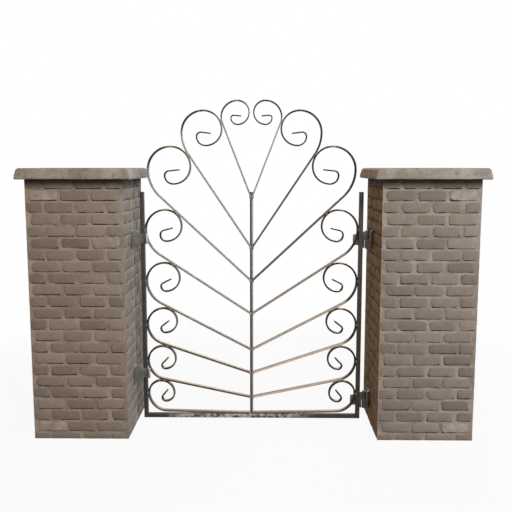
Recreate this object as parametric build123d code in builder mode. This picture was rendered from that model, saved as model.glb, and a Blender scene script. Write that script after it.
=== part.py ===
# Single-leaf scrolled metal garden gate hung between two brick pillars.
# Frame: origin on the ground, midway between the pillars and midway through their depth.
# +X runs along the gateway towards the hinged side, +Y is the way the leaf opens, +Z is up.
import os
from math import atan, cos, degrees, radians, sin, sqrt, tan
from typing import NamedTuple

from build123d import *

# Pillars and their coping stones
pillar_width = 530
pillar_depth = 554
pillar_height = 1446
opening = 1386
cap_overhang = 42
cap_thick = 60
cap_batter = 15
cap_top_radius = 14

# Leaf frame
hinge_gap = 62
latch_gap = 41
ground_gap = 27
stile_top = 1370
frame_bar = 25
frame_bar_corner = 2
centre_bar_size = 14

# Scroll bars, drawn out thinner from the leg to the tip of the curl
scroll_thick = 11.5
second_scroll_thick = 10.5
top_scroll_thick = 9
scroll_tip_share = 0.7
arcs_per_curl = 6
scroll_depth = 24
weld_gap = 0.3

# Hinges, made of plate rolled round a pin
hinge_plate = 5
pin_stand_off = 34
knuckle_radius = 12
hinge_height = 102
knuckle_gap = 0.5
pin_clearance = 0.05
pin_head_radius = 9
pin_head_thick = 4
pin_tail = 3
barrel_clearance = 3
hinge_flange = 62
hinge_bend_radius = 9
strap_tip_height = 64
strap_reach = 30
strap_tip_radius = 8
upper_hinge_height = 1094
lower_hinge_height = 134

# Keepers that the closed leaf comes to rest against
keeper_plate = 5
keeper_clearance = 5
keeper_height = 102
keeper_tip_height = 58
keeper_flange = 62
keeper_bend_radius = 9
keeper_reach = 12
keeper_roll_radius = 7
keeper_taper_start = 22
upper_keeper_height = 1101
lower_keeper_height = 304


def half_thick(leg_thick, arcs_along):
    """Half the thickness of a scroll's bar, after a number of arcs of its curl."""
    drawn_out = (1 - scroll_tip_share) * arcs_along / arcs_per_curl
    return leg_thick * (1 - drawn_out) / 2


# Places that follow from the sizes above
half_opening = opening / 2
leaf_width = opening - hinge_gap - latch_gap
hinge_edge = half_opening - hinge_gap
latch_edge = latch_gap - half_opening
leaf_middle = (hinge_edge + latch_edge) / 2
half_frame = frame_bar / 2
half_bar = centre_bar_size / sqrt(2)
rail_top = ground_gap + frame_bar
stile_reach = leaf_width / 2 - frame_bar - weld_gap - half_thick(scroll_thick, 1)
pin_radius = knuckle_radius - hinge_plate
pin_x = half_opening - pin_stand_off
pin_y = half_frame + knuckle_radius


class Scroll(NamedTuple):
    """Sizes of one pair of scrolls."""

    slope: float  # of the straight leg, in degrees
    reach: float  # of the curl, from the centre line of the leaf
    radii: tuple  # of the curl's arcs, a quarter turn each but for the first and the last
    hook_turn: float  # of the last arc, in degrees
    tip: float  # straight length at the end
    thick: float  # of the bar at its leg


# The pairs of scrolls, from the top one down: slope, reach, radii, turn of the hook, tip, thickness
scroll_pairs = [
    Scroll(68.9, 171, (89, 92, 66, 67, 36, 15), 95, 43, top_scroll_thick),
    Scroll(56.3, 397, (215, 124, 104, 92, 51, 24), 97, 56, second_scroll_thick),
    Scroll(43.1, 593, (207, 131, 113, 99, 49, 25), 84, 65, scroll_thick),
    Scroll(33.3, stile_reach, (175, 114, 93, 88, 36, 28), 76, 52, scroll_thick),
    Scroll(27.7, stile_reach, (150, 105, 87, 80, 30, 19), 63, 56, scroll_thick),
    Scroll(18.7, stile_reach, (120, 96, 77, 68, 27, 12), 52, 54, scroll_thick),
    Scroll(11.9, stile_reach, (115, 87, 75, 61, 22, 10), 44, 54, scroll_thick),
    Scroll(1.2, stile_reach, (110, 75, 76, 49, 24, 10), 40, 50, scroll_thick),
]

os.makedirs("parts", exist_ok=True)


def save(piece, name):
    piece.part.label = name
    export_step(piece.part, f"parts/{name}.step")


# Pillars: one mass of masonry each


def make_pillar(side):
    x = side * (half_opening + pillar_width / 2)
    with BuildPart() as pillar:
        with BuildSketch(Plane.XY):
            with Locations((x, 0)):
                Rectangle(pillar_width, pillar_depth)
        extrude(amount=pillar_height)
    return pillar


# Coping stones: slabs with battered sides and a rounded upper edge


def make_cap(side):
    x = side * (half_opening + pillar_width / 2)
    width = pillar_width + 2 * cap_overhang
    depth = pillar_depth + 2 * cap_overhang
    with BuildPart() as cap:
        with BuildSketch(Plane.XY.offset(pillar_height)):
            with Locations((x, 0)):
                Rectangle(width, depth)
        extrude(amount=cap_thick, taper=degrees(atan(cap_batter / cap_thick)))
        fillet(edges().group_by(Axis.Z)[-1], cap_top_radius)
    return cap


# Frame of the leaf


def make_stile(x):
    with BuildPart() as stile:
        with BuildSketch(Plane.XY.offset(ground_gap)):
            with Locations((x, 0)):
                Rectangle(frame_bar, frame_bar)
            chamfer(vertices(), frame_bar_corner)
        extrude(amount=stile_top - ground_gap)
    return stile


with BuildPart() as bottom_rail:
    with BuildSketch(Plane.YZ.offset(latch_edge + frame_bar)):
        with Locations((0, ground_gap + half_frame)):
            Rectangle(frame_bar, frame_bar)
        chamfer(vertices(), frame_bar_corner)
    extrude(amount=leaf_width - 2 * frame_bar)


# Scrolls: each leg springs from the centre bar, a square bar set edge on, and is notched over it.
# Its curl is a run of tangent arcs of falling radius. All of it is worked out on the outward side.


def scroll_path(scroll, join):
    """Where the arcs of one scroll's centre line meet, with its direction there, and their middles."""
    slope = radians(scroll.slope)
    leg = (scroll.reach - scroll.radii[0] * (1 - sin(slope))) / cos(slope)
    x, z, turn = leg * cos(slope), join + leg * sin(slope), slope
    nodes = [(x, z, turn)]
    middles = []
    ends = [90 * quarter for quarter in range(1, len(scroll.radii))]
    ends.append(ends[-1] + scroll.hook_turn)
    for end, radius in zip(map(radians, ends), scroll.radii):
        centre_x, centre_z = x - radius * sin(turn), z + radius * cos(turn)
        half = (turn + end) / 2
        middles.append((centre_x + radius * sin(half), centre_z - radius * cos(half), half))
        x, z, turn = centre_x + radius * sin(end), centre_z - radius * cos(end), end
        nodes.append((x, z, turn))
    nodes.append((x + scroll.tip * cos(turn), z + scroll.tip * sin(turn), turn))
    return nodes, middles


def join_heights():
    """Height of each join on the centre bar: the lowest leg lies on the rail, and every other
    leg rests on the curl below it, on the arc that runs down from the curl's top."""
    heights = [rail_top + scroll_pairs[-1].thick / 2 + weld_gap]
    for below, scroll in zip(reversed(scroll_pairs[1:]), reversed(scroll_pairs[:-1])):
        nodes, _ = scroll_path(below, heights[0])
        top_x, top_z, _ = nodes[2]
        arc_radius = below.radii[2]
        slope = radians(scroll.slope)
        curl_half = half_thick(below.thick, 2 + scroll.slope / 90)
        rise = arc_radius + curl_half + scroll.thick / 2 + weld_gap
        touch_x = top_x - rise * sin(slope)
        touch_z = top_z - arc_radius + rise * cos(slope)
        heights.insert(0, touch_z - touch_x * tan(slope))
    return heights


def beside(node, offset):
    """Point at a distance to the left of the centre line, seen along it."""
    x, z, turn = node
    return x - offset * sin(turn), z + offset * cos(turn)


def leg_corners(scroll, join, x):
    """Upper and lower edge of a leg at a distance from the centre line of the leaf."""
    slope = radians(scroll.slope)
    middle = join + x * tan(slope)
    rise = scroll.thick / 2 / cos(slope)
    return (x, middle + rise), (x, middle - rise)


joins = join_heights()
centre_bar_top = leg_corners(scroll_pairs[0], joins[0], half_bar)[0][1]

with BuildPart() as centre_bar:
    with BuildSketch(Plane.XY.offset(rail_top)):
        with Locations((leaf_middle, 0)):
            Rectangle(centre_bar_size, centre_bar_size, rotation=45)
    extrude(amount=centre_bar_top - rail_top)


def make_scroll(scroll, join, side):
    nodes, middles = scroll_path(scroll, join)
    corners = leg_corners(scroll, join, weld_gap / 2)

    def place(point):
        return leaf_middle + side * point[0], point[1]

    def edge_point(node, arcs_along, edge):
        return place(beside(node, edge * half_thick(scroll.thick, arcs_along)))

    with BuildPart() as bar:
        with BuildSketch(Plane.XZ.offset(-scroll_depth / 2)):
            with BuildLine():
                Line(place(corners[0]), place(corners[1]))
                for corner, edge in zip(corners, (1, -1)):
                    Line(place(corner), edge_point(nodes[0], 0, edge))
                    for arc, middle in enumerate(middles):
                        ThreePointArc(
                            edge_point(nodes[arc], arc, edge),
                            edge_point(middle, arc + 0.5, edge),
                            edge_point(nodes[arc + 1], arc + 1, edge),
                        )
                    Line(
                        edge_point(nodes[-2], arcs_per_curl, edge),
                        edge_point(nodes[-1], arcs_per_curl, edge),
                    )
                Line(
                    edge_point(nodes[-1], arcs_per_curl, 1),
                    edge_point(nodes[-1], arcs_per_curl, -1),
                )
            make_face()
        extrude(amount=scroll_depth)
        add(centre_bar.part, mode=Mode.SUBTRACT)
    return bar


# Hinges: a leaf bent from the side of the pillar to a lower knuckle, and a strap on the back of
# the stile with the upper knuckle, which turns on the lower one round the pin


def hinge_pieces(height):
    bottom = height - hinge_height / 2
    top = height + hinge_height / 2
    knuckle_top = height - knuckle_gap / 2
    knuckle_bottom = height + knuckle_gap / 2
    bore = pin_radius + pin_clearance
    flange_end = half_frame + hinge_flange
    barrel_room = knuckle_radius + barrel_clearance

    with BuildPart() as leaf:
        with BuildSketch(Plane.XY.offset(bottom)):
            with Locations(((pin_x + half_opening) / 2, half_frame + hinge_plate / 2)):
                Rectangle(half_opening - pin_x, hinge_plate)
            with Locations((half_opening - hinge_plate / 2, (half_frame + flange_end) / 2)):
                Rectangle(hinge_plate, hinge_flange)
            with Locations((pin_x, pin_y)):
                Circle(knuckle_radius)
                Circle(bore, mode=Mode.SUBTRACT)
            corner = vertices().sort_by_distance((half_opening, half_frame))[0]
            fillet(corner, hinge_bend_radius)
        extrude(amount=hinge_height)
        with BuildSketch(Plane.XY.offset(knuckle_top)):
            with Locations((pin_x, pin_y)):
                Rectangle(2 * barrel_room, 2 * barrel_room)
        extrude(amount=top - knuckle_top, mode=Mode.SUBTRACT)

    with BuildPart() as strap:
        with BuildSketch(Plane.XZ.offset(-half_frame)):
            with BuildLine():
                tip = hinge_edge - frame_bar - strap_reach
                root = pin_x - barrel_room
                Polyline(
                    (tip, height + strap_tip_height / 2),
                    (hinge_edge - frame_bar, height + strap_tip_height / 2),
                    (root, top),
                    (pin_x, top),
                    (pin_x, knuckle_bottom),
                    (root, knuckle_bottom),
                    (root, bottom),
                    (hinge_edge - frame_bar, height - strap_tip_height / 2),
                    (tip, height - strap_tip_height / 2),
                    close=True,
                )
            make_face()
            fillet(vertices().group_by(Axis.X)[0], strap_tip_radius)
        extrude(amount=-hinge_plate)
        with BuildSketch(Plane.XY.offset(knuckle_bottom)):
            with Locations((pin_x, pin_y)):
                Circle(knuckle_radius)
        extrude(amount=top - knuckle_bottom)
        with BuildSketch(Plane.XY.offset(knuckle_bottom)):
            with Locations((pin_x, pin_y)):
                Circle(bore)
        extrude(amount=top - knuckle_bottom, mode=Mode.SUBTRACT)

    with BuildPart() as pin:
        with BuildSketch(Plane.XY.offset(bottom - pin_tail)):
            with Locations((pin_x, pin_y)):
                Circle(pin_radius)
        extrude(amount=hinge_height + pin_tail)
        with BuildSketch(Plane.XY.offset(top)):
            with Locations((pin_x, pin_y)):
                Circle(pin_head_radius)
        extrude(amount=pin_head_thick)
    return leaf, strap, pin


# Keepers: a flange on the pillar, bent out in front of the leaf, its end rolled forward


def make_keeper(height):
    back = -half_frame - keeper_clearance
    front = back - keeper_plate
    end = latch_edge + frame_bar + keeper_reach
    roll_y = front + keeper_plate - keeper_roll_radius
    with BuildPart() as keeper:
        with BuildSketch(Plane.XY.offset(height - keeper_height / 2)):
            with Locations(((end - half_opening) / 2, (front + back) / 2)):
                Rectangle(end + half_opening, keeper_plate)
            with Locations((keeper_plate / 2 - half_opening, back - keeper_flange / 2)):
                Rectangle(keeper_plate, keeper_flange)
            corner = vertices().sort_by_distance((-half_opening, back))[0]
            fillet(corner, keeper_bend_radius)
            with Locations((end, roll_y)):
                Circle(keeper_roll_radius)
                Circle(keeper_roll_radius - keeper_plate, mode=Mode.SUBTRACT)
        extrude(amount=keeper_height)
        with BuildSketch(Plane.XZ.offset(-back)):
            with BuildLine():
                shoulder = keeper_taper_start - half_opening
                Polyline(
                    (-half_opening, height + keeper_height / 2),
                    (shoulder, height + keeper_height / 2),
                    (latch_edge, height + keeper_tip_height / 2),
                    (end + keeper_roll_radius, height + keeper_tip_height / 2),
                    (end + keeper_roll_radius, height - keeper_tip_height / 2),
                    (latch_edge, height - keeper_tip_height / 2),
                    (shoulder, height - keeper_height / 2),
                    (-half_opening, height - keeper_height / 2),
                    close=True,
                )
            make_face()
        extrude(amount=keeper_flange, mode=Mode.INTERSECT)
    return keeper


for side, name in ((-1, "left"), (1, "right")):
    save(make_pillar(side), f"{name}_pillar")
    save(make_cap(side), f"{name}_cap")

save(make_stile(latch_edge + half_frame), "latch_stile")
save(make_stile(hinge_edge - half_frame), "hinge_stile")
save(bottom_rail, "bottom_rail")
save(centre_bar, "centre_bar")

for side, name in ((-1, "left"), (1, "right")):
    for number, (scroll, join) in enumerate(zip(scroll_pairs, joins), start=1):
        save(make_scroll(scroll, join, side), f"{name}_scroll_{number}")

for name, height in (("upper", upper_hinge_height), ("lower", lower_hinge_height)):
    leaf, strap, pin = hinge_pieces(height)
    save(leaf, f"{name}_hinge_leaf")
    save(strap, f"{name}_hinge_strap")
    save(pin, f"{name}_hinge_pin")

save(make_keeper(upper_keeper_height), "upper_keeper")
save(make_keeper(lower_keeper_height), "lower_keeper")
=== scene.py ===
import math
import random

import bpy
from mathutils import Matrix, Vector, noise


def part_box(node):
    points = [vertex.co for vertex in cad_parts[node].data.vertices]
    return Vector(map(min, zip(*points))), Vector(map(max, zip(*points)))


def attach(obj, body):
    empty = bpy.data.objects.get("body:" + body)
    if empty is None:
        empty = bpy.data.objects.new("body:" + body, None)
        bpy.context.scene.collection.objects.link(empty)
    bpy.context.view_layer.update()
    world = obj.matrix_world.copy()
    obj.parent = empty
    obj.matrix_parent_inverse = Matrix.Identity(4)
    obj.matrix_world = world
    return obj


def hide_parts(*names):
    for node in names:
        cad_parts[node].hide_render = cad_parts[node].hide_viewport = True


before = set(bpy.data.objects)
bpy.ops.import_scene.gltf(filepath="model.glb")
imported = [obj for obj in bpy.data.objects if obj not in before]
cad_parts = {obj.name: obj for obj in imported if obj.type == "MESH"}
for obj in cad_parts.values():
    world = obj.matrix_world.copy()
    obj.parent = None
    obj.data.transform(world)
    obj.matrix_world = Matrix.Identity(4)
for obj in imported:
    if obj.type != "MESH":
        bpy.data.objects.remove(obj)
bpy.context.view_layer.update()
noise.seed_set(1)  # noise_vector would otherwise start from the clock, and differ from run to run
print("frame loaded:", len(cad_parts), "nodes")


# Small helpers for modelling

def deselectAll():
    if bpy.context.object and bpy.context.object.mode != "OBJECT":
        bpy.ops.object.mode_set(mode="OBJECT")
    bpy.ops.object.select_all(action="DESELECT")


def pick(piece):
    deselectAll()
    piece.select_set(True)
    bpy.context.view_layer.objects.active = piece


def addBox(name, low, high):
    deselectAll()
    bpy.ops.mesh.primitive_cube_add(size=1, location=(Vector(low) + Vector(high)) / 2)
    piece = bpy.context.object
    piece.name = name
    piece.scale = Vector(high) - Vector(low)
    bpy.ops.object.transform_apply(location=True, rotation=True, scale=True)
    return piece


def addObject(name, data):
    made = bpy.data.objects.new(name, data)
    bpy.context.scene.collection.objects.link(made)
    return made


def addMark(mesh, name, values):  # one number a vertex, which the materials read
    mesh.attributes.new(name, "FLOAT", "POINT").data.foreach_set("value", values)


def selectFaces(piece, test):  # in edit mode: the faces whose middle and normal pass the test
    bpy.ops.mesh.select_all(action="DESELECT")
    bpy.ops.object.mode_set(mode="OBJECT")
    for face in piece.data.polygons:
        face.select = test(face.center, face.normal)
    bpy.ops.object.mode_set(mode="EDIT")


def selectEdges(piece, test):  # in edit mode: the edges whose two ends pass the test
    bpy.ops.mesh.select_mode(type="EDGE")
    bpy.ops.mesh.select_all(action="DESELECT")
    bpy.ops.object.mode_set(mode="OBJECT")
    spots = [vertex.co for vertex in piece.data.vertices]
    for edge in piece.data.edges:
        edge.select = test(spots[edge.vertices[0]], spots[edge.vertices[1]])
    bpy.ops.object.mode_set(mode="EDIT")


def applyModifier(piece, kind, settings):
    pick(piece)
    modifier = piece.modifiers.new(kind.title(), kind)
    for key, value in settings.items():
        setattr(modifier, key, value)
    bpy.ops.object.modifier_apply(modifier=modifier.name)


def joinPieces(pieces, name):
    deselectAll()
    for piece in pieces:
        piece.select_set(True)
    bpy.context.view_layer.objects.active = pieces[0]
    bpy.ops.object.join()
    joined = bpy.context.object
    joined.name = name
    return joined


def finishPiece(piece, material, body, nodes=(), smoothAngle=35):
    piece.data.materials.clear()
    piece.data.materials.append(material)
    pick(piece)
    bpy.ops.object.shade_smooth_by_angle(angle=math.radians(smoothAngle))
    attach(piece, body)
    if nodes:
        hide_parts(*nodes)


# Shader maths: sums and products of wires add the Math nodes

class Wire:
    def __init__(self, shader, socket):
        self.shader = shader
        self.socket = socket

    def maths(self, operation, *values):
        sockets = dict(enumerate(values))
        return self.shader.node("ShaderNodeMath", {"operation": operation}, sockets)["Value"]

    def __add__(self, other):
        return self.maths("ADD", self, other)

    def __sub__(self, other):
        return self.maths("SUBTRACT", self, other)

    def __rsub__(self, other):
        return self.maths("SUBTRACT", other, self)

    def __mul__(self, other):
        return self.maths("MULTIPLY", self, other)

    def __abs__(self):
        return self.maths("ABSOLUTE", self)

    __radd__ = __add__
    __rmul__ = __mul__

    def between(self, low, high):  # 0 on low's side and 1 on high's, whichever is larger
        settings = {"interpolation_type": "SMOOTHSTEP"}
        sockets = {"Value": self, "From Min": low, "From Max": high}
        return self.shader.node("ShaderNodeMapRange", settings, sockets)["Result"]


class Shader:
    def __init__(self, name, kind="materials"):  # or "worlds"
        self.owner = getattr(bpy.data, kind).new(name)
        self.owner.use_nodes = True
        self.tree = self.owner.node_tree
        self.tree.nodes.clear()
        self.place = self.node("ShaderNodeTexCoord")["Object"]
        axes = self.split(self.place)
        self.x, self.y, self.z = axes["X"], axes["Y"], axes["Z"]

    def node(self, kind, settings=None, sockets=None):
        made = self.tree.nodes.new(kind)
        for key, value in (settings or {}).items():
            if key == "stops":
                self.setStops(made.color_ramp, value)
            else:
                setattr(made, key, value)
        for key, value in (sockets or {}).items():
            usable = [socket for socket in made.inputs if socket.enabled]
            named = [socket for socket in usable if socket.name == key]
            socket = named[0] if named else usable[key]
            if isinstance(value, Wire):
                self.tree.links.new(value.socket, socket)
            elif isinstance(value, tuple) and len(value) == 3 and socket.type == "RGBA":
                socket.default_value = (*value, 1)
            else:
                socket.default_value = value
        return {output.name: Wire(self, output) for output in made.outputs if output.enabled}

    def setStops(self, ramp, stops):
        while len(ramp.elements) < len(stops):
            ramp.elements.new(0.5)
        for element, (position, colour) in zip(ramp.elements, stops):
            element.position = position
            element.color = (*colour, 1)

    def split(self, vector):
        return self.node("ShaderNodeSeparateXYZ", sockets={0: vector})

    def direction(self):  # which way the surface faces
        return self.node("ShaderNodeNewGeometry")["Normal"]

    def mark(self, name):  # a number that the mesh carries
        return self.node("ShaderNodeAttribute", {"attribute_name": name})["Fac"]

    def noise(self, scale, detail=3, roughness=0.55):
        sockets = {"Vector": self.place, "Scale": scale, "Detail": detail, "Roughness": roughness}
        return self.node("ShaderNodeTexNoise", sockets=sockets)["Fac"]

    def mix(self, factor, first, second, blend="MIX"):
        settings = {"data_type": "RGBA", "blend_type": blend}
        sockets = {"Factor": factor, "A": first, "B": second}
        return self.node("ShaderNodeMix", settings, sockets)["Result"]

    def ramp(self, factor, stops):
        return self.node("ShaderNodeValToRGB", {"stops": stops}, {"Fac": factor})["Color"]

    def bump(self, height, strength, distance, normal=None):
        sockets = {"Height": height, "Strength": strength, "Distance": distance}
        if normal:
            sockets["Normal"] = normal
        return self.node("ShaderNodeBump", sockets=sockets)["Normal"]

    def finish(self, sockets):
        surface = self.node("ShaderNodeBsdfPrincipled", sockets=sockets)["BSDF"]
        self.node("ShaderNodeOutputMaterial", sockets={"Surface": surface})
        return self.owner


# Stone, brick and mortar

brickLook = {
    "tones": [
        (0.0, (0.130, 0.101, 0.083)),
        (0.3, (0.172, 0.133, 0.109)),
        (0.6, (0.203, 0.161, 0.135)),
        (0.85, (0.240, 0.193, 0.162)),
        (1.0, (0.345, 0.292, 0.255)),
    ],
    "dustAndTopLight": (0.300, 0.243, 0.202),
    "soot": (0.095, 0.072, 0.058),
    "patches": 0.55,  # how far they move a brick from its own tone
    "shadow": (-0.34, 0.25, -0.9),  # the way that its lower edges, dark with painted shade, face
}
masonryLook = {
    # dark colour for painted shade in hollows, on lower edges and undersides and under the coping,
    # and for the coping's joint line
    "shadeAndJointDark": (0.028, 0.019, 0.014),
    "shadeTint": (1.0, 0.77, 0.43),  # painted shade: multiplies the colour of the sides that face -X
    "shadeLine": (1.386, 1.426),  # painted shadow: darker above this height, under the coping
    "shade": 0.84,
    "turned": (-0.70, -0.92),  # X of the way that a side in painted shade faces
}


def tintShadedSide(shader, facing, colour, tint):
    turned = facing["X"].between(*masonryLook["turned"])
    return shader.mix(turned, colour, tint, "MULTIPLY")


# painted shade: a tint on the sides that face -X, and a dark band painted under the coping
def paintMasonryShade(shader, facing, colour):
    colour = tintShadedSide(shader, facing, colour, masonryLook["shadeTint"])
    underCopingShade = shader.z.between(*masonryLook["shadeLine"]) * masonryLook["shade"]
    return shader.mix(underCopingShade, colour, masonryLook["shadeAndJointDark"])


def makeBrickMaterial():
    shader = Shader("tumbledBrick")
    patches = (shader.noise(22, detail=4) - 0.5) * brickLook["patches"]
    colour = shader.ramp(shader.mark("tone") + patches, brickLook["tones"])
    grain = shader.noise(260, detail=5, roughness=0.7)
    colour = shader.mix(grain.between(0.5, 0.72) * 0.4, colour, brickLook["dustAndTopLight"])
    colour = shader.mix(grain.between(0.48, 0.3) * 0.5, colour, brickLook["soot"])
    direction = shader.direction()
    facing = shader.split(direction)
    # painted highlight: faces turned upward take the lighter dust colour, as though lit from above
    colour = shader.mix(facing["Z"].between(0.3, 0.75) * 0.4, colour, brickLook["dustAndTopLight"])
    # painted shade: dark lines along the lower edges and round the lower left corners
    sockets = {0: direction, 1: brickLook["shadow"]}
    hidden = shader.node("ShaderNodeVectorMath", {"operation": "DOT_PRODUCT"}, sockets)["Value"]
    paintedShadeLines = hidden.between(0.35, 0.55) * shader.noise(15, detail=2).between(0.32, 0.45)
    colour = shader.mix(paintedShadeLines * 0.95, colour, masonryLook["shadeAndJointDark"])
    normal = shader.bump(shader.noise(55, detail=4), 0.6, 0.006)
    normal = shader.bump(grain, 0.5, 0.0016, normal)
    return shader.finish({
        "Base Color": paintMasonryShade(shader, facing, colour), "Roughness": 0.93, "Normal": normal,
        "Specular IOR Level": 0.25,
    })


mortarLook = {
    "pale": (0.305, 0.250, 0.208),
    "deep": (0.212, 0.168, 0.138),
    "grit": (0.110, 0.085, 0.068),
}


def makeMortarMaterial():
    shader = Shader("limeMortar")
    stains = shader.noise(9, detail=4)
    grit = shader.noise(420, detail=4, roughness=0.75)
    lumps = shader.noise(85, detail=4, roughness=0.65)
    colour = shader.mix(stains.between(0.35, 0.65), mortarLook["pale"], mortarLook["deep"])
    colour = shader.mix(lumps.between(0.45, 0.25) * 0.7, colour, mortarLook["grit"])
    colour = shader.mix(grit.between(0.45, 0.28) * 0.6, colour, mortarLook["grit"])
    # painted shade in the raked hollows of the joints
    hollow = shader.mark("hollow").between(0.0018, 0.0040)
    colour = shader.mix(hollow * 0.95, colour, masonryLook["shadeAndJointDark"])
    colour = paintMasonryShade(shader, shader.split(shader.direction()), colour)
    normal = shader.bump(lumps, 0.9, 0.007)
    normal = shader.bump(grit, 0.5, 0.0012, normal)
    return shader.finish({
        "Base Color": colour, "Roughness": 0.97, "Normal": normal, "Specular IOR Level": 0.2,
    })


copingLook = {
    "pale": (0.310, 0.270, 0.231),
    "deep": (0.190, 0.161, 0.134),
    "stain": (0.100, 0.081, 0.065),
    "rearStone": (0.78, 0.75, 0.77),  # multiplies the colour behind the joint
    "shadeTint": (1.0, 0.88, 0.72),  # painted shade: multiplies the colour of the edge that faces -X
    "joint": 0.020,  # its place along Y
}


def makeCopingMaterial(name, jointed):
    shader = Shader(name)
    clouds = shader.noise(6, detail=5)
    blotches = shader.noise(28, detail=5, roughness=0.65)
    grain = shader.noise(310, detail=4, roughness=0.7)
    colour = shader.mix(clouds.between(0.36, 0.66), copingLook["pale"], copingLook["deep"])
    colour = shader.mix(blotches.between(0.47, 0.3) * 0.7, colour, copingLook["stain"])
    colour = shader.mix(grain.between(0.46, 0.3) * 0.45, colour, copingLook["stain"])
    if jointed:  # the stone is in two halves, the rear one darker
        behind = shader.y - copingLook["joint"]
        rear = behind.between(-0.001, 0.001)
        colour = shader.mix(rear, colour, copingLook["rearStone"], "MULTIPLY")
        line = abs(behind).between(0.0035, 0.0012) * 0.8
        colour = shader.mix(line, colour, masonryLook["shadeAndJointDark"])
    facing = shader.split(shader.direction())
    colour = tintShadedSide(shader, facing, colour, copingLook["shadeTint"])
    # painted shade on the faces turned downward
    colour = shader.mix(facing["Z"].between(-0.25, -0.75) * 0.7, colour, masonryLook["shadeAndJointDark"])
    normal = shader.bump(blotches, 0.7, 0.008)
    normal = shader.bump(grain, 0.5, 0.0014, normal)
    return shader.finish({
        "Base Color": colour, "Roughness": 0.94, "Normal": normal, "Specular IOR Level": 0.25,
    })


# Metal

frameLook = {
    "dark": (0.030, 0.026, 0.027),
    "brown": (0.032, 0.024, 0.018),
    # pale steel, for the rubbed rail and for a painted highlight on the sides that face +X
    "paleSteel": (0.440, 0.402, 0.372),
    # a lighter colour painted on upward faces as a highlight
    "dustAndTopLight": (0.130, 0.095, 0.068),
    # the rubbed middle of the rail: below which height, and between which places along X
    "rubbedBelow": (0.075, 0.050),
    "rubbedFrom": (-0.60, -0.38),
    "rubbedTo": (0.40, 0.16),
}


def makeFrameMaterial():
    shader = Shader("darkFrameSteel")
    mottle = shader.noise(38, detail=5, roughness=0.65)
    grain = shader.noise(420, detail=3)
    facing = shader.split(shader.direction())
    railMiddle = shader.z.between(*frameLook["rubbedBelow"])
    railMiddle *= shader.x.between(*frameLook["rubbedFrom"])
    railMiddle *= shader.x.between(*frameLook["rubbedTo"])
    paleSteel = mottle.between(0.36, 0.60) * (railMiddle * 0.92 + 0.03)
    colour = shader.mix(shader.x.between(-0.2, 0.5), frameLook["dark"], frameLook["brown"])
    colour = shader.mix(mottle.between(0.50, 0.34) * 0.5, colour, frameLook["brown"])
    colour = shader.mix(paleSteel, colour, frameLook["paleSteel"])
    # painted highlight: faces turned upward are lighter
    colour = shader.mix(facing["Z"].between(0.4, 0.9) * 0.7, colour, frameLook["dustAndTopLight"])
    # painted highlight: faces turned to +X take the pale steel colour
    colour = shader.mix(facing["X"].between(0.6, 0.95) * 0.35, colour, frameLook["paleSteel"])
    normal = shader.bump(mottle, 0.25, 0.0015)
    normal = shader.bump(grain, 0.25, 0.0004, normal)
    return shader.finish({
        "Base Color": colour, "Metallic": paleSteel * 0.5, "Roughness": 0.60 - paleSteel * 0.2,
        "Normal": normal, "Specular IOR Level": 0.3,
    })


# pale: a painted highlight on the facet that faces +X
centreBarLook = {"dark": (0.030, 0.025, 0.025), "pale": (0.400, 0.380, 0.365)}


def makeCentreBarMaterial():
    shader = Shader("highlightAndWearCentreBar")
    mottle = shader.noise(34, detail=5, roughness=0.65)
    grain = shader.noise(420, detail=3)
    # painted highlight: the facet turned to +X is pale, a little less towards the bottom
    towardsX = shader.split(shader.direction())["X"].between(0.2, 0.6)
    lower = shader.z.between(1.1, 0.5) * 0.25
    highlightAndWear = towardsX * (mottle.between(0.30, 0.60) * 0.2 + 0.65) * (1 - lower)
    colour = shader.mix(highlightAndWear, centreBarLook["dark"], centreBarLook["pale"])
    normal = shader.bump(grain, 0.1, 0.0002)
    return shader.finish({
        "Base Color": colour, "Metallic": highlightAndWear * 0.15, "Roughness": 0.62 - highlightAndWear * 0.1,
        "Normal": normal, "Specular IOR Level": 0.3,
    })


scrollLook = {
    "dark": (0.013, 0.009, 0.006),
    "umber": (0.044, 0.028, 0.018),
    "legBrown": (0.078, 0.056, 0.043),
    # the colours below are painted light: a sheen on the inner sides of the curls, reflections on
    # the left and the right legs, highlights on the tops of the curls and the legs
    "side": (0.180, 0.164, 0.151),
    "grey": (0.290, 0.270, 0.262),
    "tan": (0.630, 0.520, 0.440),
    "bronzeHighlight": (0.430, 0.310, 0.190),
    "dustAndTopLight": (0.330, 0.265, 0.205),
}


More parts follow.
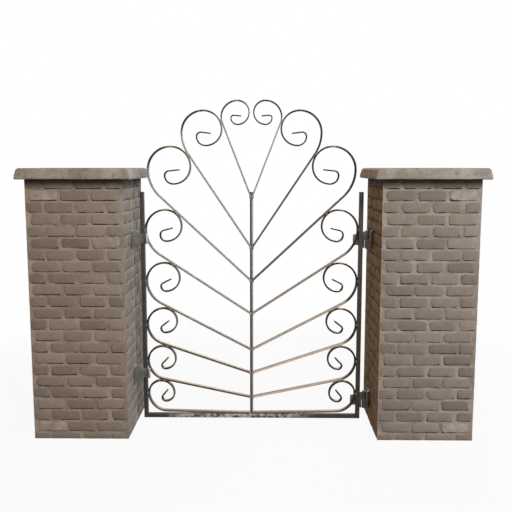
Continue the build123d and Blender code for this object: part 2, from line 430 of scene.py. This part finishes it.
def makeScrollMaterial():
    # each bar's mesh says how bright the painted reflection on its straight leg is, and how far up
    # and how far inward each place on its curl lies
    shader = Shader("agedScrollSteel")
    leg, crown, inward = (shader.mark(name) for name in ("leg", "crown", "inward"))
    mottle = shader.noise(30, detail=5, roughness=0.6)
    streaks = shader.noise(95, detail=3)
    grain = shader.noise(380, detail=3)
    facing = shader.split(shader.direction())
    forward = facing["Y"].between(-0.55, -0.90)
    onLeg = leg.between(0.01, 0.08)
    right = shader.x.between(-0.01, 0.01)
    pale = shader.mix(right, scrollLook["grey"], scrollLook["tan"])
    colour = shader.mix(mottle.between(0.42, 0.68), scrollLook["dark"], scrollLook["umber"])
    # painted glint at the top of each curl
    crownGlint = crown.between(0.93, 0.995) * mottle.between(0.38, 0.56)
    colour = shader.mix(crownGlint * 0.6, colour, scrollLook["bronzeHighlight"])
    # painted sheen on the inward sides of the curls, mostly on the left
    inner = inward.between(0.45, 0.95) * (0.55 - right * 0.45)
    colour = shader.mix(inner, colour, scrollLook["side"])
    colour = shader.mix(onLeg * 0.8, colour, scrollLook["legBrown"])
    # painted reflection on the front of the legs: grey on the left, tan on the right
    legReflection = leg * (streaks.between(0.30, 0.55) * 0.4 + 0.6)
    colour = shader.mix(legReflection * (forward * 0.85 + 0.15), colour, pale)
    # painted highlight on the upward faces: bronze on the curls, a lighter tone on the legs
    upward = facing["Z"].between(0.45, 0.95)
    colour = shader.mix(upward * (1 - onLeg) * 0.6, colour, scrollLook["bronzeHighlight"])
    colour = shader.mix(upward * onLeg * 0.7, colour, scrollLook["dustAndTopLight"])
    normal = shader.bump(mottle, 0.25, 0.0012)
    normal = shader.bump(grain, 0.2, 0.0003, normal)
    return shader.finish({
        "Base Color": colour, "Metallic": 0.32 - legReflection * 0.16, "Roughness": 0.50 + legReflection * 0.04,
        "Normal": normal, "Specular IOR Level": 0.16,
    })


hingeLook = {
    "dark": (0.088, 0.077, 0.060),
    "pale": (0.145, 0.130, 0.104),
    "rust": (0.095, 0.060, 0.038),
}
keeperLook = {
    "dark": (0.080, 0.074, 0.065),
    "pale": (0.130, 0.120, 0.108),
    "rust": (0.100, 0.076, 0.060),
}
weldLook = {
    "dark": (0.170, 0.148, 0.130),
    "pale": (0.330, 0.295, 0.262),
    "rust": (0.120, 0.080, 0.055),
}
# bright steel, for wear specks and for painted highlights on the tops and on a keeper's rolled end
highlightAndWearSteel = (0.520, 0.510, 0.490)
rolledEnd = {"length": 0.011, "fade": 0.004}  # of a keeper


def makePlateMaterial(name, look, rollStart=None):
    shader = Shader(name)
    mottle = shader.noise(24, detail=4)
    grain = shader.noise(450, detail=3)
    colour = shader.mix(mottle.between(0.35, 0.7), look["dark"], look["pale"])
    colour = shader.mix(mottle.between(0.38, 0.26) * 0.7, colour, look["rust"])
    upward = shader.split(shader.direction())["Z"].between(0.35, 0.7)
    # wear specks, with a painted highlight on the upward faces
    highlightAndWear = grain.between(0.52, 0.75) * 0.25 + upward * 0.6
    if rollStart:  # painted highlight on the rolled end of a keeper
        highlightAndWear += shader.x.between(rollStart, rollStart + rolledEnd["fade"]) * 0.6
    colour = shader.mix(highlightAndWear, colour, highlightAndWearSteel)
    normal = shader.bump(mottle, 0.2, 0.0010)
    normal = shader.bump(grain, 0.2, 0.0003, normal)
    return shader.finish({
        "Base Color": colour, "Metallic": highlightAndWear * 0.6 + 0.2, "Roughness": 0.5, "Normal": normal,
    })


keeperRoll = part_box("upper_keeper")[1].x - rolledEnd["length"]
leafMiddle = sum(corner.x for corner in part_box("centre_bar")) / 2
materials = {
    "brick": makeBrickMaterial(),
    "mortar": makeMortarMaterial(),
    "leftCoping": makeCopingMaterial("weatheredCopingPair", True),
    "rightCoping": makeCopingMaterial("weatheredCoping", False),
    "frame": makeFrameMaterial(),
    "scroll": makeScrollMaterial(),
    "centreBar": makeCentreBarMaterial(),
    "hinge": makePlateMaterial("dullHingeSteel", hingeLook),
    "keeper": makePlateMaterial("greyKeeperSteel", keeperLook, keeperRoll),
    "weld": makePlateMaterial("roughWeldSteel", weldLook),
}
print("materials made:", len(materials))


# Brickwork: three whole bricks along a side in one course, two and two part bricks in the next

brickwork = {
    "course": 0.0644,
    "firstBed": 0.0400,  # middle of the lowest whole bed joint, above the ground
    "height": 0.0530,
    "depth": 0.0220,  # of a brick into the mortar
    "length": 0.1480,
    "joint": 0.0165,
    "endMargin": 0.0260,  # of mortar between a whole brick and the corner
    "partMargin": 0.0050,  # the same for a part brick
    "inset": 0.0006,  # of the brick faces behind the face of the pillar
    "corner": 0.0165,  # rounding of a brick's long face at its corners
    "edge": 0.0046,
    "lump": 0.0034,
    "tilt": 0.8,  # degrees
    "slip": 0.0040,
    "lift": 0.6,  # share of the slip, half of which moves a brick up or down
    "wave": (24, 60),  # scales of the coarse and the fine noise that bends a brick
    "fineWave": 0.5,
    "faceWave": 0.35,  # so that the faces stay nearly flush
    "cuts": (-0.3, 0.3),  # across a brick, so that it can bend
    "tone": (0.47, 0.17),  # middle and spread
    "brightest": 0.85,
    "paleCourses": (1, 21),  # whose outer brick in front is a pale one
    "paleTone": 0.93,
}
brickSize = Vector((brickwork["length"], brickwork["depth"], brickwork["height"]))


def modelBrick():
    half = brickSize / 2
    stamp = addBox("brickStamp", -half, half)
    near = 0.0001
    bpy.ops.object.mode_set(mode="EDIT")
    selectEdges(stamp, lambda a, b: abs(a.y - b.y) > half.y)
    bpy.ops.mesh.bevel(offset=brickwork["corner"], segments=3, affect="EDGES")
    selectEdges(stamp, lambda a, b: max(abs(a.y + half.y), abs(b.y + half.y)) < near)
    bpy.ops.mesh.bevel(offset=brickwork["edge"], segments=2, affect="EDGES")
    for share in brickwork["cuts"]:
        bpy.ops.mesh.select_all(action="SELECT")
        bpy.ops.mesh.bisect(plane_co=(share * half.x, 0, 0), plane_no=(1, 0, 0))
    bpy.ops.object.mode_set(mode="OBJECT")
    return stamp


def layBrick(stamp, centre, size, quarter, tone, dice):
    mesh = stamp.data.copy()
    brick = addObject("brick", mesh)
    stretch = Matrix.Diagonal([size[axis] / brickSize[axis] for axis in range(3)] + [1])
    lean = math.radians(dice.uniform(-brickwork["tilt"], brickwork["tilt"]))
    turn = Matrix.Rotation(quarter * math.pi / 2, 4, "Z") @ Matrix.Rotation(lean, 4, "Y")
    mesh.transform(Matrix.Translation(centre) @ turn @ stretch)
    seed = Vector([dice.uniform(-50, 50) for axis in range(3)])
    across = 1 - quarter % 2
    coarse, fine = brickwork["wave"]
    for vertex in mesh.vertices:
        wave = noise.noise_vector(vertex.co * coarse + seed)
        wave += noise.noise_vector(vertex.co * fine + seed) * brickwork["fineWave"]
        wave[across] *= brickwork["faceWave"]
        vertex.co += wave * brickwork["lump"]
    addMark(mesh, "tone", [tone] * len(mesh.vertices))
    return brick


def layCourse(stamp, low, high, bottom, top, number, paleEnd, laid, dice):
    # one ring of bricks, side by side round the pillar: front, +X side, back, -X side
    bricks = []
    joint, slip, depth = brickwork["joint"], brickwork["slip"], brickwork["depth"]
    for quarter in range(4):
        axis, across = quarter % 2, 1 - quarter % 2
        atLow = quarter in (0, 3)
        half = (high[axis] - low[axis]) / 2
        length = (2 * half - 2 * brickwork["endMargin"] - 2 * joint) / 3
        if (axis == 0) == (number % 2 == 1):  # whole bricks
            middles = (-length - joint, 0, length + joint)
            spans = [(middle - length / 2, middle + length / 2) for middle in middles]
        else:  # a part brick at each end
            inner, outer = length + 1.5 * joint, half - brickwork["partMargin"]
            spans = [
                (-outer, -inner), (joint - inner, -joint / 2),
                (joint / 2, inner - joint), (inner, outer),
            ]
        free = half - slip - brickwork["partMargin"]  # an end beyond this stays where it is
        for place, (start, end) in enumerate(spans):
            start += dice.uniform(-slip, slip) * (start > -free)
            end += dice.uniform(-slip, slip) * (end < free)
            lift = dice.uniform(-slip, slip) * brickwork["lift"]
            centre = [0, 0, (bottom + top + lift) / 2]
            centre[axis] = (low[axis] + high[axis] + start + end) / 2
            sink = brickwork["inset"] + depth / 2
            centre[across] = low[across] + sink if atLow else high[across] - sink
            tone = min(max(dice.gauss(*brickwork["tone"]), 0), brickwork["brightest"])
            if quarter == 0 and number in brickwork["paleCourses"] and place == paleEnd:
                tone = brickwork["paleTone"]
            size = (end - start, depth, top - bottom)
            bricks.append(layBrick(stamp, centre, size, quarter, tone, dice))
            laid.setdefault((number, axis), []).append((centre[axis], size[0]))
    return bricks


def buildPillar(name, node, seed, paleEnd):
    dice = random.Random(seed)
    low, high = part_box(node)
    stamp = modelBrick()
    bricks, laid = [], {}
    gap = brickwork["course"] - brickwork["height"]
    bed, number = brickwork["firstBed"] - brickwork["course"], 0
    while bed < high.z - gap:
        bottom = max(bed + gap / 2, low.z)
        top = min(bed + gap / 2 + brickwork["height"], high.z)
        bricks += layCourse(stamp, low, high, bottom, top, number, paleEnd, laid, dice)
        bed += brickwork["course"]
        number += 1
    bpy.data.objects.remove(stamp)
    wall = joinPieces(bricks, name + "Bricks")
    keepInside(wall, low, high)
    finishPiece(wall, materials["brick"], "posts", [node], smoothAngle=60)
    buildMortar(name, low, high, laid, seed)
    print(name, "courses:", number, "bricks:", len(bricks))


def keepInside(piece, low, high):
    for vertex in piece.data.vertices:
        for axis in range(3):
            vertex.co[axis] = min(max(vertex.co[axis], low[axis]), high[axis])


def roughness(spot, look, shift):  # how far coarse and fine noise push the skin out here
    coarse = noise.noise(spot * look["coarseScale"] + shift) * look["coarse"]
    return coarse + noise.noise(spot * look["fineScale"] + shift) * look["fine"]


mortarBed = {
    "inset": 0.0012,
    "strip": 0.0088,  # width of the core's upright strips
    "sunk": 0.0022,  # how much further in the mortar lies away from the corners
    "cornerReach": 0.030,
    "coarse": 0.0032,
    "coarseScale": 26,
    "fine": 0.0024,
    "fineScale": 70,
    "cornerRough": 0.25,  # share of the roughness that is left at the corners
    # height from a bed joint's middle, in half joints, and how deep the mortar is raked there
    "rake": [(-1.0, 0.0002), (-0.3, 0.0006), (0.35, 0.0014), (0.72, 0.0064), (1.3, 0.0064)],
    "headJoint": [(0.35, 0.0006), (0.7, 0.0006)],  # height as a share of the brick's
    "patches": (17, 0.85, 1.5),  # scale, middle and spread of how much of that depth is reached
    "brickEnd": 0.007,  # length at each end of a brick with no raked joint beneath
}


def buildMortar(name, low, high, laid, seed):
    shrink = Vector((mortarBed["inset"], mortarBed["inset"], 0))
    core = addBox(name + "Mortar", low + shrink, high - shrink)
    size = high - low
    bpy.ops.object.mode_set(mode="EDIT")
    selectEdges(core, lambda a, b: abs(a.z - b.z) < size.z / 2)
    bpy.ops.mesh.subdivide(number_cuts=round(size.x / mortarBed["strip"]))
    halfJoint = (brickwork["course"] - brickwork["height"]) / 2
    bed = brickwork["firstBed"] - brickwork["course"]
    depths = {}
    while bed < high.z:
        levels = [(bed + share * halfJoint, depth) for share, depth in mortarBed["rake"]]
        foot = bed + halfJoint
        for share, depth in mortarBed["headJoint"]:
            levels.append((foot + share * brickwork["height"], depth))
        depths.update(levels)
        bed += brickwork["course"]
    for level in depths:
        bpy.ops.mesh.select_all(action="SELECT")
        bpy.ops.mesh.bisect(plane_co=(0, 0, level), plane_no=(0, 0, 1))
    bpy.ops.object.mode_set(mode="OBJECT")
    shapeMortar(core, low, high, depths, laid, seed)
    keepInside(core, low, high)
    finishPiece(core, materials["mortar"], "posts", smoothAngle=60)


def shapeMortar(core, low, high, depths, laid, seed):
    # rakes the joints out beneath the bricks, more in some places, and leaves the corners full
    depthAt = {round(level, 4): depth for level, depth in depths.items()}
    normals = [vertex.normal.copy() for vertex in core.data.vertices]
    hollows = []
    shift = Vector((0, seed, 0))
    patchScale, patchMiddle, patchSpread = mortarBed["patches"]
    for vertex, normal in zip(core.data.vertices, normals):
        spot = vertex.co.copy()
        toCorner = max(min(spot[axis] - low[axis], high[axis] - spot[axis]) for axis in (0, 1))
        away = min(toCorner / mortarBed["cornerReach"], 1)
        patch = patchMiddle + patchSpread * noise.noise(spot * patchScale + shift)
        patch = min(max(patch, 0), 1)
        number = round((spot.z - brickwork["firstBed"]) / brickwork["course"]) + 1
        along = 0 if abs(normal.y) > abs(normal.x) else 1
        covered = any(  # by a brick above the joint
            abs(spot[along] - middle) < size / 2 - mortarBed["brickEnd"]
            for middle, size in laid.get((number, along), [])
        )
        depth = depthAt.get(round(spot.z, 4), 0) * patch * away * covered
        rough = mortarBed["cornerRough"] + (1 - mortarBed["cornerRough"]) * away
        sunk = depth + mortarBed["sunk"] * away - roughness(spot, mortarBed, shift) * rough
        vertex.co -= Vector((normal.x, normal.y, 0)) * sunk
        hollows.append(depth)
    addMark(core.data, "hollow", hollows)


buildPillar("leftPillar", "left_pillar", seed=4, paleEnd=0)
buildPillar("rightPillar", "right_pillar", seed=9, paleEnd=2)


# Coping stones: battered, rounded slabs with a rough face

coping = {
    "batter": 0.015,
    "round": 0.013,
    "underside": 0.006,
    "swell": 0.0035,  # before the skin is roughened and cut back to the stone's true size
    "voxel": 0.0064,
    "coarse": 0.0022,
    "coarseScale": 14,
    "fine": 0.0018,
    "fineScale": 60,
}


def buildCoping(name, node, seed):
    low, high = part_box(node)
    swell = Vector((coping["swell"], coping["swell"], 0))
    stone = addBox(name, low - swell, high + swell)
    bpy.ops.object.mode_set(mode="EDIT")
    selectFaces(stone, lambda middle, normal: normal.z > 0.5)
    width = high - low
    shrink = (1 - 2 * coping["batter"] / width.x, 1 - 2 * coping["batter"] / width.y, 1)
    bpy.ops.transform.resize(value=shrink, center_override=(low + high) / 2)
    bpy.ops.mesh.bevel(offset=coping["round"], segments=4, affect="EDGES")
    selectEdges(stone, lambda a, b: max(a.z, b.z) < low.z + 0.001)
    bpy.ops.mesh.bevel(offset=coping["underside"], segments=2, affect="EDGES")
    bpy.ops.object.mode_set(mode="OBJECT")
    applyModifier(stone, "REMESH", {"mode": "VOXEL", "voxel_size": coping["voxel"]})
    shift = Vector((seed, seed * 2, seed * 3))
    normals = [vertex.normal.copy() for vertex in stone.data.vertices]
    for vertex, normal in zip(stone.data.vertices, normals):
        vertex.co += normal * roughness(vertex.co, coping, shift)
    keepInside(stone, low, high)
    finishPiece(stone, materials[name], "posts", [node], smoothAngle=60)


for name, seed in (("left", 2), ("right", 7)):
    buildCoping(name + "Coping", name + "_cap", seed)
print("coping stones cut")


# Bars of the leaf: copies of the frame's own bars with their arrises rounded

arris = {"scroll": 0.0016, "frame": 0.0016, "centre": 0.0014, "hinge": 0.0008}
rounding = {
    "merge": 0.00002,
    "flat": 0.6,  # degrees below which two faces become one
    "sharp": 38,  # degrees above which an edge is an arris
}


def roundBar(name, node, size):
    piece = addObject(name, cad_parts[node].data.copy())
    pick(piece)
    bpy.ops.object.mode_set(mode="EDIT")
    bpy.ops.mesh.select_all(action="SELECT")
    bpy.ops.mesh.remove_doubles(threshold=rounding["merge"])
    bpy.ops.mesh.dissolve_limited(angle_limit=math.radians(rounding["flat"]))
    bpy.ops.object.mode_set(mode="OBJECT")
    applyModifier(piece, "BEVEL", {
        "width": size, "segments": 2, "limit_method": "ANGLE",
        "angle_limit": math.radians(rounding["sharp"]), "use_clamp_overlap": True,
    })
    return piece


scrollBars = {
    # slope in degrees and first radius in metres of the bars' middle lines, from the top pair down,
    # with how bright the painted reflection is on the left and the right legs
    "bars": [
        (68.9, 0.089, 0.70, 0.48),
        (56.3, 0.215, 0.95, 0.09),
        (43.1, 0.207, 1.00, 0.09),
        (33.3, 0.175, 0.85, 0.43),
        (27.7, 0.150, 0.55, 0.76),
        (18.7, 0.120, 0.09, 1.00),
        (11.9, 0.115, 0.09, 0.94),
        (1.2, 0.110, 0.25, 0.22),
    ],
    "halfBar": 0.0065,
    "near": 0.0104,  # what lies no further from a bar's middle line belongs to the bar
    "rim": 0.0004,  # depth of a curl's outermost edge
    "overlap": 0.002,  # of the straight leg into its first bend
    "fade": 0.030,  # length over which the first bend darkens into the curl
}


def markBar(piece, slope, radius, brightness, darkBend):
    # leg: brightness of the painted reflection on the straight leg and first bend; crown and
    # inward: how far up and how far inward a place on the curl lies
    spots = [Vector((abs(vertex.co.x - leafMiddle), vertex.co.z)) for vertex in piece.data.vertices]
    reach = max(spot.x for spot in spots)
    rim = [spot.y for spot in spots if spot.x > reach - scrollBars["rim"]]
    bend = Vector((reach - scrollBars["halfBar"] - radius, sum(rim) / len(rim)))
    angle = math.radians(slope)
    along = Vector((math.cos(angle), math.sin(angle)))
    across = Vector((-along.y, along.x))
    touch = bend - across * radius
    near, fade = scrollBars["near"], scrollBars["fade"]
    legs, onCurl = [], []
    for spot in spots:
        beyond = (spot - touch).dot(along)
        fromLine = abs((spot - touch).dot(across))
        fromArc = abs((spot - bend).length - radius)
        onStraight = beyond <= scrollBars["overlap"] and fromLine < near
        onBend = beyond > 0 and spot.x > bend.x and fromArc < near
        low = min(max((bend.y + fade / 2 - spot.y) / fade, 0), 1)
        highlightAndWear = min(max(1 - beyond / fade, 0), 1) if darkBend else low
        legs.append(brightness * (1 if onStraight else highlightAndWear if onBend else 0))
        onCurl.append(not onStraight and not (onBend and low > 0))
    curl = [spot for spot, free in zip(spots, onCurl) if free]
    middle = Vector([(min(values) + max(values)) / 2 for values in zip(*curl)])
    rays = [(spot - middle).normalized() for spot in spots]
    marks = {
        "leg": legs,
        "crown": [ray.y * free for ray, free in zip(rays, onCurl)],
        "inward": [-ray.x * free for ray, free in zip(rays, onCurl)],
    }
    for name, values in marks.items():
        addMark(piece.data, name, values)
    side = Vector((reach, bend.y))
    return {"touch": touch, "along": along, "across": across, "curl": curl, "side": side}


places = []  # one for each pair, whose two bars mirror each other
for number, (slope, radius, *brightness) in enumerate(scrollBars["bars"], start=1):
    for side, legReflection in zip(("left", "right"), brightness):
        node = f"{side}_scroll_{number}"
        bar = roundBar(f"{side}ScrollBar{number}", node, arris["scroll"])
        place = markBar(bar, slope, radius, legReflection, side == "right")
        finishPiece(bar, materials["scroll"], "leaf", [node])
    places.append(place)
frameBars = [  # name, node, arris and material
    ("latchStile", "latch_stile", "frame", "frame"),
    ("hingeStile", "hinge_stile", "frame", "frame"),
    ("bottomRail", "bottom_rail", "frame", "frame"),
    ("centreBar", "centre_bar", "centre", "centreBar"),
]
for name, node, edge, look in frameBars:
    bar = roundBar(name, node, arris[edge])
    finishPiece(bar, materials[look], "leaf", [node])
fittings = [  # name, node, body and material
    ("HingeLeaf", "hinge_leaf", "posts", "hinge"),
    ("HingePin", "hinge_pin", "posts", "hinge"),
    ("HingeStrap", "hinge_strap", "leaf", "hinge"),
    ("Keeper", "keeper", "posts", "keeper"),
]
for level in ("upper", "lower"):
    for name, node, body, look in fittings:
        plate = roundBar(level + name, f"{level}_{node}", arris["hinge"])
        finishPiece(plate, materials[look], body, [f"{level}_{node}"])
print("bars and plates finished")


# Weld beads where the bars meet, and the screws of the plates

welds = {
    "front": -0.0108,  # place of the beads along Y
    "beside": (0.0092, 0.0030),  # place of a joint's bead from where its two legs' lines cross
    "stilePair": 3,  # the first pair whose curls reach the stiles, counted from 0
    "joint": (0.0052, 0.0040, 0.0090),  # half sizes of the beads beside the centre bar
    "contact": (0.0034, 0.0026, 0.0085),  # and of those where two bars touch
    "lump": 0.0007,
    "lumpScale": 1.7,
}


def addBead(halfSize, where, lean, shift):
    deselectAll()
    bpy.ops.mesh.primitive_ico_sphere_add(subdivisions=2, radius=1)
    bead = bpy.context.object
    for vertex in bead.data.vertices:
        lump = noise.noise(vertex.co * welds["lumpScale"] + shift) * welds["lump"]
        vertex.co *= 1 + lump / halfSize[0]
    turn = Matrix.Rotation(lean, 4, "Y")
    bead.data.transform(Matrix.Translation(where) @ turn @ Matrix.Diagonal([*halfSize, 1]))
    return bead


def buildWelds():
    beads = []
    for number, place in enumerate(places):
        touch, along, across = place["touch"], place["along"], place["across"]
        joint = touch - along * (touch.x / along.x)
        spots = [(welds["joint"], joint + Vector(welds["beside"]), 0)]
        if number < len(places) - 1:  # the leg rests on the curl below it
            curl = places[number + 1]["curl"]
            nearest = max(curl, key=(lambda spot: (spot - touch).dot(across)))
            spots.append((welds["contact"], nearest, math.atan2(along.x, along.y)))
        if number >= welds["stilePair"]:
            spots.append((welds["contact"], place["side"], 0))
        for halfSize, spot, lean in spots:
            for sign in (-1, 1):
                shift = Vector((number * 3.1, sign * 5.3, len(beads)))
                where = Vector((leafMiddle + sign * spot.x, welds["front"], spot.y))
                beads.append(addBead(halfSize, where, sign * lean, shift))
    return joinPieces(beads, "weldBeads")


screws = {
    "radius": 0.0052,
    "proud": 0.0018,
    "sunk": 0.0002,  # of the dome's middle in the plate
    "plate": 0.0050,  # thickness of what they hold
    "spread": 0.033,  # above and below the plate's middle
    "fromEdge": 0.018,
}


def addScrew(face, sign, y, z):  # a domed head on a plate, facing along X
    deselectAll()
    bpy.ops.mesh.primitive_uv_sphere_add(segments=20, ring_count=10, radius=1, location=(0, 0, 0))
    head = bpy.context.object
    size = (screws["proud"], screws["radius"], screws["radius"], 1)
    where = (face - sign * screws["sunk"], y, z)
    head.data.transform(Matrix.Translation(where) @ Matrix.Diagonal(size))
    return head


def buildScrews():
    heads = []
    plate, fromEdge = screws["plate"], screws["fromEdge"]
    for level in ("upper", "lower"):
        leafLow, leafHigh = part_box(level + "_hinge_leaf")
        keeperLow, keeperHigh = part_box(level + "_keeper")
        for way in (-1, 1):
            z = (leafLow.z + leafHigh.z) / 2 + way * screws["spread"]
            heads.append(addScrew(leafHigh.x - plate, -1, leafHigh.y - fromEdge, z))
            z = (keeperLow.z + keeperHigh.z) / 2 + way * screws["spread"]
            heads.append(addScrew(keeperLow.x + plate, 1, keeperLow.y + fromEdge, z))
    return joinPieces(heads, "plateScrews")


finishPiece(buildWelds(), materials["weld"], "leaf")
finishPiece(buildScrews(), materials["hinge"], "posts")
print("welds and screws added")


# Floor, backdrop light and lamps

studio = {
    "width": 40,
    "below": 0.0005,  # of the floor under the pillars
    "floor": (0.45, 0.45, 0.45),
    "floorGlow": 0.93,  # share of white that the camera sees, near the gate
    "whiteFrom": 1.9,  # distance at which the floor begins to fade to white, in metres
    "whiteAt": 3.6,
    "worldLight": 0.16,
    "worldColour": (1.0, 0.95, 0.88),
}


def whiteMask(shader):  # 1 for what the camera sees, straight, mirrored or through glass
    path = shader.node("ShaderNodeLightPath")
    seen = path["Is Camera Ray"] + path["Is Glossy Ray"] + path["Is Transmission Ray"]
    return seen.between(0, 1)


def makeFloor():
    deselectAll()
    bpy.ops.mesh.primitive_plane_add(size=studio["width"], location=(0, 0, -studio["below"]))
    floor = bpy.context.object
    floor.name = "studioFloor"
    shader = Shader("paleFloor")
    away = shader.node("ShaderNodeVectorMath", {"operation": "LENGTH"}, {0: shader.place})["Value"]
    far = away.between(studio["whiteFrom"], studio["whiteAt"])
    share = whiteMask(shader) * (studio["floorGlow"] + far * (1 - studio["floorGlow"]))
    dull = shader.node("ShaderNodeBsdfDiffuse", sockets={"Color": studio["floor"]})["BSDF"]
    white = {"Color": (1, 1, 1), "Strength": 1.0}
    glow = shader.node("ShaderNodeEmission", sockets=white)["Emission"]
    sockets = {"Fac": share, 1: dull, 2: glow}
    surface = shader.node("ShaderNodeMixShader", sockets=sockets)["Shader"]
    shader.node("ShaderNodeOutputMaterial", sockets={"Surface": surface})
    floor.data.materials.append(shader.owner)


def makeWorld():
    shader = Shader("studioWorld", "worlds")
    bpy.context.scene.world = shader.owner
    light = {"Color": studio["worldColour"], "Strength": studio["worldLight"]}
    white = {"Color": (1, 1, 1), "Strength": 1.0}
    glow, backdrop = (
        shader.node("ShaderNodeBackground", sockets=sockets)["Background"]
        for sockets in (light, white)
    )
    sockets = {"Fac": whiteMask(shader), 1: glow, 2: backdrop}
    surface = shader.node("ShaderNodeMixShader", sockets=sockets)["Shader"]
    shader.node("ShaderNodeOutputWorld", sockets={"Surface": surface})


lamps = {  # place, aim, width in metres, power in watts and colour
    "key": ((1.5, -5.0, 4.1), (0.1, 0, 0.8), 1.0, 224, (1.0, 0.975, 0.935)),
    "side": ((6.5, -2.4, 2.2), (-0.7, 0, 0.8), 2.0, 325, (0.71, 0.87, 1.0)),
    "fill": ((-4.6, -3.4, 2.0), (0, 0, 0.8), 3.0, 54, (1.0, 0.70, 0.38)),
    "top": ((0.5, -0.6, 4.6), (0, 0, 0.8), 3.0, 45, (1.0, 0.96, 0.90)),
    "back": ((1.0, 4.5, 3.0), (0, 0, 0.8), 3.0, 170, (1.0, 0.98, 0.96)),
}


def makeLamps():
    for name, (place, aim, width, power, colour) in lamps.items():
        data = bpy.data.lights.new(name + "Lamp", "AREA")
        data.shape = "DISK"
        data.size = width
        data.energy = power
        data.color = colour
        lamp = addObject(name + "Lamp", data)
        lamp.location = place
        gaze = Vector(aim) - Vector(place)
        lamp.rotation_euler = gaze.to_track_quat("-Z", "Y").to_euler()


camera = {
    "at": (0.0697, -3.9787, 1.5166),
    "down": 7.407,  # degrees below level
    "left": 0.785,  # degrees turned towards -X
    "lens": 48.63,  # mm
    "sensor": 36,
}


def makeCamera():
    data = bpy.data.cameras.new("photoCamera")
    data.sensor_width = camera["sensor"]
    data.lens = camera["lens"]
    eye = addObject("photoCamera", data)
    eye.location = camera["at"]
    eye.rotation_euler = (math.radians(90 - camera["down"]), 0, math.radians(camera["left"]))
    bpy.context.scene.camera = eye


makeFloor()
makeWorld()
makeLamps()
makeCamera()
bpy.context.scene.view_settings.view_transform = "Standard"
print("studio ready")
